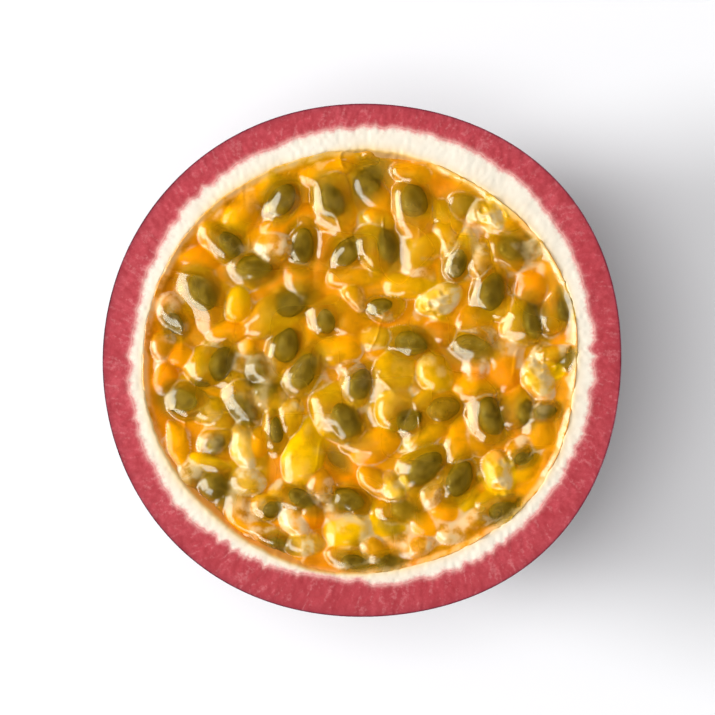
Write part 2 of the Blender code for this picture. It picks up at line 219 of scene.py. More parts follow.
# Lights: name, azimuth, angle from straight up, width and height, power, colour, and what misses it
PLAIN = (1, 1, 1)
COOL = (0.86, 0.95, 1.0)
LIGHTS = (
    ("key", 177, 70, (0.28, 0.36), 11.0, PLAIN, "glossy"),
    ("overhead", 182, 12, (0.44, 0.44), 3.4, PLAIN, "glossy"),
    ("window_left", 184, 60, (0.86, 0.66), 16.0, COOL, "diffuse"),
    ("window_front", 238, 54, (0.60, 0.44), 6.8, COOL, "diffuse"),
)
LIGHT_DISTANCE = 0.9
EVEN_LIGHT = 0.40
FLOOR_HALF_SIDE = 3.0
SENSOR_WIDTH = 36
CAMERA_PLACE = (-0.74 * MM, 0.39 * MM)


# Numbers on grids


def smooth_step(low, high, value):
    """0 below low and 1 above high, with the cubic 3t^2 - 2t^3 in between. low may be the larger."""
    share = np.clip((value - low) / (high - low), 0, 1)
    return share * share * (3 - 2 * share)


def grain(x, y, cell, seed):
    """Smooth noise from -1 to 1: random numbers at the corners of square cells, blended inside each
    cell by the cubic weights of smooth_step along x and along y. Each seed gives another pattern."""
    corners = np.random.default_rng(seed).uniform(-1, 1, (LATTICE_SIDE, LATTICE_SIDE))
    column = np.floor(x / cell).astype(int)
    row = np.floor(y / cell).astype(int)
    across = smooth_step(0, 1, x / cell - column)
    along = smooth_step(0, 1, y / cell - row)
    left, right = column % LATTICE_SIDE, (column + 1) % LATTICE_SIDE
    near, far = row % LATTICE_SIDE, (row + 1) % LATTICE_SIDE
    front = corners[left, near] * (1 - across) + corners[right, near] * across
    back = corners[left, far] * (1 - across) + corners[right, far] * across
    return front * (1 - along) + back * along


def waves(lobes, angle):
    """Sum of the lobes' cosines, each size * cos(count * (angle - direction))."""
    return sum(size * np.cos(count * (angle - math.radians(points))) for count, size, points in lobes)


def towards(angle, direction, spread):
    """1 in a direction and 0 beyond a spread to either side of it, both in degrees."""
    off = np.abs((np.degrees(angle) - direction + 180) % 360 - 180)
    return smooth_step(spread, 0, off)


def polar(radius, angle):
    """x and y of points at a radius and an angle."""
    return radius * np.cos(angle), radius * np.sin(angle)


def turned(x, y, angle):
    """x and y turned about the origin by an angle."""
    return x * np.cos(angle) - y * np.sin(angle), x * np.sin(angle) + y * np.cos(angle)


def crown(u, v):
    """Height of a ball of radius 1 over (u, v), sqrt(1 - u^2 - v^2). Outside it falls away steeply."""
    reach = u * u + v * v
    return np.sqrt(np.clip(1 - reach, 0, None)) - OUTSIDE_FALL * np.clip(np.sqrt(reach) - 1, 0, None)


def level_rings(*heights):
    """Rows of COLUMNS equal numbers, one row for each height or radius."""
    return np.outer(heights, np.ones(COLUMNS))


# The fruit's own lines


def fruit_rim(shape, angle):
    """Radius of the outer edge of the cut face."""
    return shape.fruit_radius + waves(FRUIT_LOBES, angle)


def shell_edge(shape, angle):
    """Radius of the uneven line where the shell meets the pith on the cut face.

    The smooth line has the lobes of SHELL_EDGE_LOBES. Noise bends the way round, ridged noise,
    1/2 - |grain|, adds scallops and teeth, and slow noise makes them larger in places."""
    radius = shape.fruit_radius - shape.shell_thickness
    x, y = polar(radius, angle)
    bend = 0.9 * MM * grain(x, y, 2.6 * MM, 14)
    scallops = 0.5 - np.abs(grain(x + bend, y - bend, 1.9 * MM, 11))
    teeth = 0.5 - np.abs(grain(x - bend, y + bend, 0.75 * MM, 12))
    drift = grain(x, y, 5.5 * MM, 13)
    bite = 0.55 + 0.9 * smooth_step(-0.3, 0.7, grain(x, y, 7 * MM, 15)) + 0.6 * towards(angle, 225, 40)
    uneven = shape.scallop * (bite * (scallops + 0.3 * teeth) + 0.4 * drift)
    return radius + waves(SHELL_EDGE_LOBES, angle) + uneven


def cut_face(x, y):
    """Height of the cut face of shell and pith: a little below the cut, with two sizes of noise."""
    return MM * (0.035 * grain(x, y, 0.5 * MM, 32) + 0.05 * grain(x, y, 2.5 * MM, 33) - 0.05)


def smooth_pith_edge(shape, angle):
    """Radius of the line where the pith meets the pulp, without its noise."""
    radius = shape.fruit_radius - shape.shell_thickness - shape.pith_thickness
    return radius + waves(PITH_EDGE_LOBES, angle)


def pith_edge(shape, angle):
    """Radius of the line where the pith meets the pulp on the cut face, with slight noise."""
    x, y = polar(shape.fruit_radius - shape.shell_thickness - shape.pith_thickness, angle)
    uneven = 0.10 * MM * grain(x, y, 2.2 * MM, 21) + 0.04 * MM * grain(x, y, 0.7 * MM, 22)
    return smooth_pith_edge(shape, angle) + uneven


def wall_distance(shape, x, y):
    """How far points of the pulp are from the pith, straight outwards."""
    return np.clip(pith_edge(shape, np.arctan2(y, x)) - np.hypot(x, y), 0, None)


def sac_layout(shape):
    """The sacs of the table, in metres and radians, each with a small tilt and roll of its own.

    A sac that would touch the pith moves in towards the middle. Returns rows of x, y and z of the
    middle, heading, length, width, depth, tilt and roll, with height counted from the cut."""
    chance = random.Random(SAC_TILT_SEED)
    x, y, heading, length, width, top = np.array(SACS).T[:6]
    x, y, length, width, top = np.stack([x, y, length, width, top]) / TENTHS * MM
    lean = np.array([[chance.uniform(-1, 1), chance.uniform(-1, 1)] for _ in SACS])
    lean = lean * math.radians(SAC_TILT)
    heading = np.radians(heading)
    depth = width * SAC_DEPTH_SHARE
    around = np.arctan2(y, x)
    reach = np.hypot(length * np.cos(heading - around), width * np.sin(heading - around)) / 2
    away = np.minimum(np.hypot(x, y), smooth_pith_edge(shape, around) - SAC_WALL_CLEARANCE - reach)
    middle = top - depth / 2
    rows = np.stack([*polar(away, around), middle, heading, length, width, depth], -1)
    return np.concatenate([rows, lean], -1)


# Meshes


def make_piece(name, node, body, material):
    """Puts a body into a smooth mesh and lets it stand for a node, as the last step of an operator.

    A body is the arrays of its points, quads and triangles, and its points' painted values by name."""
    points, quads, triangles, paint = body
    mesh = bpy.data.meshes.new(name)
    corners = np.concatenate([quads.ravel(), triangles.ravel()])
    sizes = np.concatenate([np.full(len(quads), 4), np.full(len(triangles), 3)])
    starts = np.concatenate([[0], np.cumsum(sizes)[:-1]])
    mesh.vertices.add(len(points))
    mesh.vertices.foreach_set("co", points.astype(np.float32).ravel())
    mesh.loops.add(len(corners))
    mesh.loops.foreach_set("vertex_index", corners.astype(np.int32))
    mesh.polygons.add(len(sizes))
    mesh.polygons.foreach_set("loop_start", starts.astype(np.int32))
    for key, values in paint.items():
        mesh.attributes.new(key, "FLOAT", "POINT").data.foreach_set("value", values.astype(np.float32))
    mesh.update(calc_edges=True)
    mesh.validate()
    mesh.shade_smooth()
    mesh.materials.append(material)
    piece = bpy.data.objects.new(name, mesh)
    bpy.context.scene.collection.objects.link(piece)
    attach(piece, "root")
    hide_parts(node)
    return {"FINISHED"}


def ring_angles(columns):
    """Even steps once round, starting at +X."""
    return np.arange(columns) * (2 * math.pi / columns)


def ring_faces(rings, columns, first=0):
    """Quads between rings of points that each go once round, numbered ring by ring from first."""
    ring = first + columns * np.arange(rings - 1)[:, None]
    here = np.arange(columns)[None, :]
    beside = (here + 1) % columns
    quads = np.stack([ring + here, ring + beside, ring + beside + columns, ring + here + columns], -1)
    return quads.reshape(-1, 4)


def fan_faces(ring, pole, upward):
    """Triangles from a ring of point numbers to one pole."""
    following = np.roll(ring, -1)
    middle = np.full(len(ring), pole)
    return np.stack([ring, following, middle] if upward else [following, ring, middle], -1)


def end_fans(rings, columns):
    """Fans that close the first and the last ring, with the poles numbered after all the rings."""
    ring, poles = np.arange(columns), rings * columns
    first = fan_faces(ring, poles, upward=False)
    return np.concatenate([first, fan_faces(ring + poles - columns, poles + 1, upward=True)])


def turned_body(radii, heights, paint, lowest_share=0):
    """A closed body from rings that lead from its lowest pole over the rim to its inner pole.

    A point of ring k at angle a is (r * cos a, r * sin a, z), with r and z from row k of the arrays.
    A fan closes each pole. The poles are painted 0, or the lowest one with lowest_share of the first
    ring's paint."""
    points = np.stack([*polar(radii, ring_angles(COLUMNS)), heights], -1).reshape(-1, 3)
    poles = [[0, 0, heights[0].mean()], [0, 0, heights[-1].mean()]]
    points = np.concatenate([points, poles])
    points[:, 2] += CUT_HEIGHT
    ends = {key: [values[0, 0] * lowest_share, 0] for key, values in paint.items()}
    paint = {key: np.append(values.ravel(), ends[key]) for key, values in paint.items()}
    return points, ring_faces(*radii.shape), end_fans(*radii.shape), paint


def bowl_rings(rim, depth, tips, shoulder=0.0):
    """Rings of a bowl below the cut, for angles tips from its pole, 0, to its rim, a right angle.

    The radius is rim * sin(tip)^(2/n) and the height -depth * cos(tip)^(2/n), a superellipse of
    squareness n. shoulder swells it between pole and rim."""
    power = 2 / FRUIT_SQUARENESS
    outward, downward = np.sin(tips)[:, None], np.clip(np.cos(tips), 0, 1)[:, None]
    radii = (rim[None, :] + shoulder * outward * downward) * outward**power
    heights = -depth * downward**power * np.ones_like(radii)
    return radii, heights


# Shader arithmetic


class Field:
    """A shader value that Python arithmetic works on. Each operator adds one Math node."""

    def __init__(self, finish, socket):
        self.finish = finish
        self.socket = socket

    def math(self, operation, first, second):
        return self.finish.add("ShaderNodeMath", {"operation": operation}, {0: first, 1: second})

    def __add__(self, other):
        return self.math("ADD", self, other)

    __radd__ = __add__

    def __mul__(self, other):
        return self.math("MULTIPLY", self, other)

    __rmul__ = __mul__

    def __sub__(self, other):
        return self.math("SUBTRACT", self, other)

    def __rsub__(self, other):
        return self.math("SUBTRACT", other, self)

    def step(self, low, high):
        """0 at low and 1 at high, smooth in between."""
        settings = {"interpolation_type": "SMOOTHSTEP", "clamp": True}
        sockets = {"Value": self, "From Min": low, "From Max": high}
        return self.finish.add("ShaderNodeMapRange", settings, sockets)


class Finish:
    """One material, built by expressions round a Principled surface."""

    def __init__(self, name, **constants):
        self.material = bpy.data.materials.new(name)
        self.material.use_nodes = True
        self.tree = self.material.node_tree
        self.surface = self.tree.nodes["Principled BSDF"]
        self.feed(self.surface, constants)

    def feed(self, node, sockets):
        """Sets each socket to a value, or links it to a field."""
        for key, value in sockets.items():
            socket = node.inputs[key.replace("_", " ") if isinstance(key, str) else key]
            if isinstance(value, Field):
                self.tree.links.new(value.socket, socket)
            else:
                socket.default_value = value

    def add(self, kind, settings, sockets, output=0):
        """Adds a node of any type: its settings first, then its sockets."""
        node = self.tree.nodes.new(kind)
        for key, value in settings.items():
            setattr(node, key, value)
        self.feed(node, sockets)
        return Field(self, node.outputs[output])

    def paints(self, *names):
        """Painted attributes of the mesh."""
        return [self.add("ShaderNodeAttribute", {"attribute_name": name}, {}, "Fac") for name in names]

    def noise(self, size, detail=2.0, roughness=0.5):
        """Noise from 0 to 1 whose grains measure about size."""
        where = self.add("ShaderNodeTexCoord", {}, {}, "Object")
        sockets = {"Vector": where, "Scale": 1 / size, "Detail": detail, "Roughness": roughness}
        return self.add("ShaderNodeTexNoise", {}, sockets)

    def mix(self, share, first, second):
        """A colour between two colours. Each may be a field or a plain colour."""
        return self.add("ShaderNodeMix", {"data_type": "RGBA"}, {0: share, 6: first, 7: second}, 2)

    def layers(self, base, *coats):
        """A base colour with coats laid over it in order, each a share from 0 to 1 and a colour."""
        for share, over in coats:
            base = self.mix(share, base, over)
        return base

    def bump(self, height, distance, strength):
        """A normal that makes the surface look raised where the height field is high."""
        sockets = {"Height": height, "Distance": distance, "Strength": strength}
        return self.add("ShaderNodeBump", {}, sockets, "Normal")

    def blend(self, share, **sockets):
        """Blends the surface, by a share from 0 to 1, with a second Principled one."""
        share = self.add("ShaderNodeClamp", {}, {"Value": share})
        first = Field(self, self.surface.outputs[0])
        second = self.add("ShaderNodeBsdfPrincipled", {}, sockets)
        both = self.add("ShaderNodeMixShader", {}, {0: share, 1: first, 2: second})
        self.feed(self.tree.nodes["Material Output"], {"Surface": both})

    def use(self, **sockets):
        """Feeds the Principled surface and hands over the material."""
        self.feed(self.surface, sockets)
        return self.material


def colour(red, green, blue):
    """A screen colour from 0 to 255 as linear light, with full alpha."""
    return tuple((part / 255) ** 2.2 for part in (red, green, blue)) + (1.0,)


# What a user may change


def length_property(label, description, default):
    """A length in metres that the panel shows."""
    return bpy.props.FloatProperty(
        name=label, description=description, default=default, min=0, precision=5, unit="LENGTH"
    )


def colour_property(label, description, *screen):
    """A colour that the panel shows, given as a screen colour from 0 to 255."""
    return bpy.props.FloatVectorProperty(
        name=label, description=description, default=colour(*screen),
        size=4, subtype="COLOR", min=0, max=1,
    )


class FruitShape(bpy.types.PropertyGroup):
    fruit_radius: length_property("Fruit radius", "Mean radius of the cut face", 32.55 * MM)
    shell_thickness: length_property("Shell thickness", "Mean width of the red ring", 3.71 * MM)
    pith_thickness: length_property("Pith thickness", "Mean width of the white ring", 2.03 * MM)
    fruit_depth: length_property("Depth", "From the cut to where the round end would reach", 31.4 * MM)
    scallop: length_property("Scallops", "How far the red runs in and out of the white", 0.60 * MM)
    juice_below_cut: length_property("Juice level", "How far the juice lies below the cut", 1.05 * MM)
    bed_below_cut: length_property("Juice bed", "How far the thick juice lies below the cut", 3.3 * MM)
    seed_size: bpy.props.FloatProperty(
        name="Seed size", description="Size of the seeds against their table", default=0.90, min=0
    )


class FruitColours(bpy.types.PropertyGroup):
    flesh: colour_property("Flesh", "Red flesh of the shell", 185, 62, 72)
    # Dark grain of the flesh, and also the colour of its painted shade towards the bottom and the right.
    flesh_grain_and_shade: colour_property("Dark flesh", "Dark grain in the red flesh", 162, 42, 50)
    flesh_light: colour_property("Light flesh", "Broad lighter parts of the red flesh", 194, 82, 89)
    flesh_pale: colour_property("Pale fibres", "Pale fibres in the red flesh", 205, 120, 122)
    skin: colour_property("Skin", "Outer skin", 92, 28, 50)
    skin_light: colour_property("Skin specks", "Pale specks in the outer skin", 130, 66, 82)
    pith: colour_property("Pith", "White lining", 232, 223, 206)
    pith_warm: colour_property("Warm pith", "Warmer patches of the lining", 230, 214, 194)
    pith_blush: colour_property("Pith blush", "Where red juice stains the lining", 216, 149, 142)
    pith_yellow: colour_property("Pith stain", "Where yellow juice stains the lining", 236, 192, 100)
    pith_orange: colour_property("Wet wall", "Where red juice stains the wet wall", 248, 152, 58)
    pith_tan: colour_property("Tan wall", "Shaded part of the wall", 178, 133, 89)
    juice: colour_property("Juice", "Thick juice under the sacs", 228, 178, 0)
    juice_deep: colour_property("Deep juice", "Deep parts of the juice", 226, 154, 0)
    jelly_clear: colour_property("Clear jelly", "Tint of the clear jelly", 255, 236, 64)
    jelly_deep: colour_property("Orange jelly", "Tint of the orange jelly", 255, 222, 36)
    jelly_green: colour_property("Green jelly", "Tint of the jelly round a seed", 230, 212, 112)
    pulp_yellow: colour_property("Yellow pulp", "Cloudy yellow pulp", 236, 176, 2)
    pulp_orange: colour_property("Orange pulp", "Cloudy orange pulp", 242, 156, 0)
    pulp_deep: colour_property("Deep pulp", "Cloudy deep orange pulp", 240, 140, 0)
    pulp_olive: colour_property("Olive pulp", "Jelly round a seed", 182, 146, 3)
    # Whitish membranes, also the colour of painted reflection and painted light in the jelly's pale veils.
    membrane_and_painted_light: colour_property("Membrane", "Thin whitish skin of the sacs", 220, 206, 168)
    seed: colour_property("Seed", "Dark seed coat", 94, 72, 18)
    seed_olive: colour_property("Olive seed", "Olive parts of the seed coat", 138, 110, 34)


class FruitStage(bpy.types.PropertyGroup):
    camera_height: length_property("Camera height", "From the cut face to the camera", 0.62)
    view_width: length_property("View width", "How much of the cut plane the picture spans", 89.4 * MM)
    floor: colour_property("Floor", "Pale table", 239, 239, 241)


# Finishes


def shell_finish(colours):
    """Mottled red flesh with fine fibres and painted shade on the cut, dark glossy skin outside."""
    finish = Finish("shell_flesh_and_skin", IOR=1.45, Specular_IOR_Level=0.45)
    outside, near_pith, fibres, deep = finish.paints("outside", "near_pith", "fibres", "deep")
    broad = finish.noise(5 * MM, 2.0)
    mottle = finish.noise(1.3 * MM, 3.0, 0.6)
    fine = finish.noise(0.36 * MM, 3.0, 0.65)
    flesh = finish.layers(
        colours.flesh,
        (broad.step(0.35, 0.70) * 0.35, colours.flesh_light),
        # Painted shade: the flesh darker towards the bottom and the right of the ring.
        (deep * 0.5, colours.flesh_grain_and_shade),
        (mottle.step(0.58, 0.40) * 0.5, colours.flesh_grain_and_shade),
        (fine.step(0.62, 0.38) * 0.35, colours.flesh_grain_and_shade),
        (fibres.step(-0.10, -0.75) * 0.3, colours.flesh_grain_and_shade),
        ((fibres * 0.35 + fine).step(0.58, 0.95) * 0.4, colours.flesh_pale),
        ((near_pith + fine * 0.5 - 0.25).step(0.0, 1.0), colours.pith_blush),
    )
    specks = finish.noise(0.8 * MM, 4.0, 0.6)
    skin = finish.mix(specks.step(0.56, 0.72) * 0.6, colours.skin, colours.skin_light)
    height = fine * (1 - outside) + finish.noise(0.9 * MM, 3.0) * outside * 0.5
    return finish.use(
        Base_Color=finish.mix(outside, flesh, skin),
        Roughness=0.5 - outside * 0.18,
        Normal=finish.bump(height, 0.05 * MM, 0.5),
    )


def pith_finish(colours):
    """Spongy cream white, red where it meets the flesh and yellow down the wet wall."""
    finish = Finish("pith_sponge", IOR=1.4, Specular_IOR_Level=0.35)
    blush, stain, deep_stain, shade = finish.paints("blush", "stain", "deep_stain", "shade")
    fine = finish.noise(0.36 * MM, 3.0, 0.65)
    patches = finish.noise(1.8 * MM, 2.0)
    soaked = blush + fine * 0.9 - 0.45
    base = finish.layers(
        colours.pith,
        (patches.step(0.40, 0.75) * 0.5, colours.pith_warm),
        (stain, colours.pith_yellow),
        (soaked.step(0.12, 0.90), colours.pith_blush),
        (soaked.step(0.78, 1.30), colours.flesh),
        (deep_stain, colours.pith_orange),
        (shade, colours.pith_tan),
    )
    relief = finish.bump(fine, 0.05 * MM, 0.3)
    return finish.use(Base_Color=base, Roughness=0.6 - stain * 0.3, Normal=relief)


def jelly_finish(colours):
    """Wet clear jelly with a crisp gloss, cloudy and orange in places. Its pale veils are whitish
    membranes, partly painted reflection and painted light.

    Light goes through the clear part and is tinted. A Mix Shader brings in the cloudy part."""
    finish = Finish("sac_jelly", IOR=1.38, Transmission_Weight=1.0, **WET_GLOSS)
    wisps = finish.noise(1.3 * MM, 3.0)
    cloud, orange, olive = finish.paints("cloud", "orange", "olive")
    dark, veil, dull = finish.paints("dark", "veil", "dull")
    ripple = finish.bump(wisps, 0.05 * MM, 0.25)
    clear = finish.layers(
        colours.jelly_clear, (orange, colours.jelly_deep), (olive * 0.9, colours.jelly_green)
    )
    finish.use(Base_Color=clear, Roughness=0.12 + dull * 0.35, Normal=ripple)
    seed_shade = finish.mix(wisps.step(0.35, 0.65), colours.seed, colours.seed_olive)
    thick = finish.layers(
        colours.pulp_yellow,
        (orange.step(0.1, 0.6), colours.pulp_orange),
        (orange.step(0.65, 1.0), colours.pulp_deep),
        (olive * 0.85, colours.pulp_olive),
        (dark * 0.9, seed_shade),
        # Pale veils: whitish membranes, partly painted reflection and painted light.
        (veil * wisps.step(0.25, 0.65) * 0.6, colours.membrane_and_painted_light),
    )
    coat = 1 - (cloud - veil).step(0.60, 0.95) * 0.7
    share = cloud * (wisps.step(0.2, 0.6) * 0.3 + 0.7) + veil * wisps.step(0.3, 0.6) * 0.4 + dark * 0.5
    cloudy = {**WET_GLOSS, "Coat_Weight": coat}
    finish.blend(share, IOR=1.3, Base_Color=thick, Roughness=0.35, Normal=ripple, **cloudy)
    return finish.material


def juice_finish(colours):
    """Thick orange juice with paler threads."""
    finish = Finish("thick_juice", Specular_IOR_Level=0.2)
    threads = finish.noise(3.4 * MM, 3.0).step(0.35, 0.65)
    return finish.use(Base_Color=finish.mix(threads, colours.juice, colours.juice_deep), Roughness=0.5)


def seed_finish(colours):
    """Hard dark seed coat with fine pits."""
    finish = Finish("seed_coat", IOR=1.6)
    pits = finish.noise(0.45 * MM, 3.0)
    patches = finish.noise(2.5 * MM, 2.0)
    return finish.use(
        Base_Color=finish.mix(patches.step(0.35, 0.65), colours.seed, colours.seed_olive),
        Roughness=0.3 + pits * 0.2,
        Normal=finish.bump(pits, 0.06 * MM, 0.5),
    )


# Pieces


def shell_body(shape):
    """The shell from its lowest pole up the skin, over the rim, in over the cut and down its inner wall.

    The fibres are noise whose cells are narrow round the ring, long across it and bent a little."""
    angle = ring_angles(COLUMNS)
    rim, edge = fruit_rim(shape, angle), shell_edge(shape, angle)
    tips = np.radians(np.concatenate([np.linspace(1.2, 12, 8), np.linspace(14, 90, 38)]))
    radii, heights = bowl_rings(rim, shape.fruit_depth, tips, waves(SHOULDER_LOBES, angle)[None, :])
    x, y = polar(radii, angle)
    dimples = 0.05 * MM * grain(x + heights, y - heights, 3.0 * MM, 31) * np.cos(tips)[:, None]
    radii = radii + dimples * smooth_step(0.15, 0.4, np.cos(tips))[:, None]
    heights = np.maximum(heights, -CUT_HEIGHT)

    share = np.append(np.linspace(0, 1, 13)[1:-1], [0.96, 0.994, 1])[:, None]
    lip = rim - level_rings(*LIP_IN)
    face_radii = np.concatenate([lip, lip[-1] * (1 - share) + edge * share])
    face_heights = cut_face(*polar(face_radii, angle))
    face_heights = face_heights * smooth_step(-0.3 * MM, 0.5 * MM, rim - face_radii)
    face_heights[: len(LIP_DROP)] -= level_rings(*LIP_DROP)

    hull = level_rings((shape.fruit_radius - shape.shell_thickness) * 0.995)[0]
    inner_radii, inner_heights = bowl_rings(hull, shape.fruit_depth - SHELL_BOTTOM, HIDDEN_TIPS[::-1])
    wall_heights = level_rings(-0.4 * MM, -1.2 * MM)

    all_radii = np.concatenate([radii, face_radii, [edge, edge], np.minimum(inner_radii, edge)])
    all_heights = np.concatenate([heights, face_heights, wall_heights, inner_heights])
    outside = 0.38 * np.exp(-np.clip(rim - all_radii, 0, None) / (0.5 * MM))
    outside[: len(radii) + 2] = 1
    outside[len(radii) - 1 : len(radii) + 2] = np.array([1.0, 0.95, 0.7])[:, None]
    near_pith = np.exp(-np.clip(all_radii - edge, 0, None) / (0.26 * MM))
    near_pith[: len(radii)] = 0

    way_round = angle / (2 * math.pi) * FIBRE_CELLS * FIBRE_LENGTH
    bend = 1.2 * FIBRE_LENGTH * grain(*polar(all_radii, angle), 3 * MM, 34)
    fibres = grain(way_round + 1.2 * all_radii + bend, all_radii, FIBRE_LENGTH, 35)
    # Painted shade: darker flesh towards the bottom (262 degrees) and the right (2 degrees).
    deep = np.maximum(towards(angle, 262, 70), 0.5 * towards(angle, 2, 40))
    deep = np.broadcast_to(deep, all_radii.shape)
    paint = {"outside": outside, "near_pith": near_pith, "fibres": fibres, "deep": deep}
    return turned_body(all_radii, all_heights, paint, lowest_share=1)


def pith_body(shape):
    """The pith from its lowest pole up its hidden outside, in over the cut and down the wet inner wall.

    The wall's edge is rounded by round_off * exp(-fall / 0.07 mm), and the wall leans in where the
    pulp has shrunk away from it."""
    angle = ring_angles(COLUMNS)
    outer, inner = shell_edge(shape, angle), pith_edge(shape, angle)
    hull = level_rings((shape.fruit_radius - shape.shell_thickness) * 0.99)[0]
    out_radii, out_heights = bowl_rings(hull, shape.fruit_depth - PITH_BOTTOM, HIDDEN_TIPS)
    wall_heights = level_rings(-1.2 * MM, -0.20 * MM)

    step = np.concatenate([[0, 0.6, 1, 1.1], np.linspace(2, 11, 10)])[:, None]
    across = outer + (inner + ROUND_OFF - outer) * (step - 1) / 10
    face_radii = np.where(step < 1, outer + TUCK * (1 - step), across)
    face_heights = cut_face(*polar(face_radii, angle)) - 0.04 * MM * np.clip(1 - step, 0, 1)

    fall = np.array([0.03, 0.10, 0.2, 0.35, 0.55, 0.8, 1.1, 1.5, 2.0, 2.8, 4.0])[:, None] * MM
    slope = 0.15 + 1.0 * towards(angle, 232, 58) + 0.7 * towards(angle, 83, 24)
    rounding = ROUND_OFF * np.exp(-fall / (0.07 * MM))
    in_radii = inner + rounding - slope * np.minimum(fall, 1.5 * MM) - 0.03 * fall
    x, y = polar(in_radii, angle)
    in_radii = in_radii + 0.05 * MM * grain(x + fall, y - fall, 0.8 * MM, 43)
    in_heights = face_heights[-1] - fall
    low_tips = np.radians([78, 64, 45, 25, 5])
    low_radii, low_heights = bowl_rings(inner * 0.96, shape.fruit_depth - PITH_WALL_BOTTOM, low_tips)

    wall = outer + TUCK
    all_radii = np.concatenate([out_radii, [wall, wall], face_radii, in_radii, low_radii])
    all_heights = np.concatenate([out_heights, wall_heights, face_heights, in_heights, low_heights])
    sunk = np.clip(-all_heights, 0, None)
    blush = np.exp(-np.clip(outer - all_radii, 0, None) / (0.40 * MM))
    reach = MM * (0.38 + 0.2 * grain(*polar(outer, angle), 6 * MM, 44))
    reach = reach + 0.25 * MM * sum(towards(angle, direction, 25) for direction in (45, 128, 215))
    beside_pulp = np.exp(-np.clip(all_radii - inner, 0, None) / reach)
    stain = np.clip(0.75 * beside_pulp + smooth_step(0.10 * MM, 0.6 * MM, sunk), 0, 1)
    deep_stain = smooth_step(0.05 * MM, 0.4 * MM, sunk) * towards(angle, 232, 62) * 0.9
    shade = smooth_step(0.05 * MM, 0.5 * MM, sunk) * towards(angle, 83, 22) * 0.75
    paint = {"blush": blush, "stain": stain, "deep_stain": deep_stain, "shade": shade}
    return turned_body(all_radii, all_heights, paint)


def disc_grid(side):
    """A square grid of side cells bent onto a round disc of radius 1.

    A square of half width r, in the grid, becomes the circle of radius r, and a point's share of the
    way along the square's side becomes its share of a quarter turn. Returns x and y."""
    across, along = np.meshgrid(np.linspace(-1, 1, side + 1), np.linspace(-1, 1, side + 1))
    wide = np.abs(across) > np.abs(along)
    reach = np.where(wide, across, along)
    safe = np.where(reach == 0, 1, reach)
    turn = (math.pi / 4) * np.where(wide, along, across) / safe
    forward, sideways = polar(reach, turn)
    return np.where(wide, forward, sideways), np.where(wide, sideways, forward)


def sac_heights(sacs, x, y):
    """Height of every sac's upper side over points, one row for each sac.

    With u and v a point's place in half lengths and tapered half widths, the height is that of an
    ellipsoid, middle + half depth * crown(u, v)."""
    place_x, place_y, middle, heading, length, width, depth, tilt, roll = sacs.T[:, :, None]
    along, across = turned(x - place_x, y - place_y, -heading)
    u = along / (length / 2)
    v = across / (width / 2 * (1 - SAC_TAPER * np.clip(u, -1.2, 1.2)))
    return middle + depth / 2 * crown(u, v) - along * np.sin(tilt) + across * np.sin(roll)


def dark_gap(angle):
    """1 where the pulp has shrunk away from the wall and leaves a dark gap, at two places."""
    return np.maximum(towards(angle, 230, 50), towards(angle, 83, 18))


def juice_level(shape, x, y):
    """Height of the juice between the sacs.

    It rolls slowly and climbs the wall, level + climb * exp(-distance from the wall / JUICE_CLIMB)."""
    level = -shape.juice_below_cut + 0.25 * MM * grain(x, y, 5 * MM, 51)
    wall_level = -0.06 * MM - 0.9 * MM * dark_gap(np.arctan2(y, x))
    return level + (wall_level - level) * np.exp(-wall_distance(shape, x, y) / JUICE_CLIMB)


def crinkles(x, y):
    """1 in the middle of each wrinkled patch and 0 outside it, with ragged borders."""
    ragged = 0.35 * grain(x, y, 1.3 * MM, 53)
    most = np.zeros_like(x)
    for place_x, place_y, radius in CRINKLES:
        away = np.hypot(x - place_x * MM, y - place_y * MM) / (radius * MM) + ragged
        most = np.maximum(most, smooth_step(1.0, 0.7, away))
    return most


def small_lumps(x, y):
    """Lumps of pulp between the sacs, one ellipsoid in each square cell of a grid.

    Each point looks at the nine cells round it. With u and v its place in half lengths and half
    widths, a lump's height is top - half height * (1 - crown(u, v)). Returns the heights, and how
    cloudy, orange and veiled each lump is, one row for each of the nine cells."""
    draws = np.random.default_rng(63).uniform(0, 1, (8, LATTICE_SIDE, LATTICE_SIDE))
    cell = LUMP_SPACING
    column, row = np.floor(x / cell).astype(int), np.floor(y / cell).astype(int)
    across, along = np.meshgrid([-1, 0, 1], [-1, 0, 1])
    column = column[None] + across.reshape(-1, 1)
    row = row[None] + along.reshape(-1, 1)
    side, up, turn, size, top, cloud, orange, veil = draws[:, column % LATTICE_SIDE, row % LATTICE_SIDE]
    away_x = x - (column + 0.15 + 0.7 * side) * cell
    away_y = y - (row + 0.15 + 0.7 * up) * cell
    length, width = cell * (0.55 + 0.45 * size), cell * (0.36 + 0.20 * size)
    along, across = turned(away_x, away_y, -math.pi * turn)
    dome = crown(along / length, across / width)
    height = LUMP_TOP + LUMP_TOP_SPREAD * (top - 0.5) - 0.8 * width * (1 - dome)
    return height, smooth_step(0.2, 0.9, cloud), orange, smooth_step(0.72, 0.95, veil)


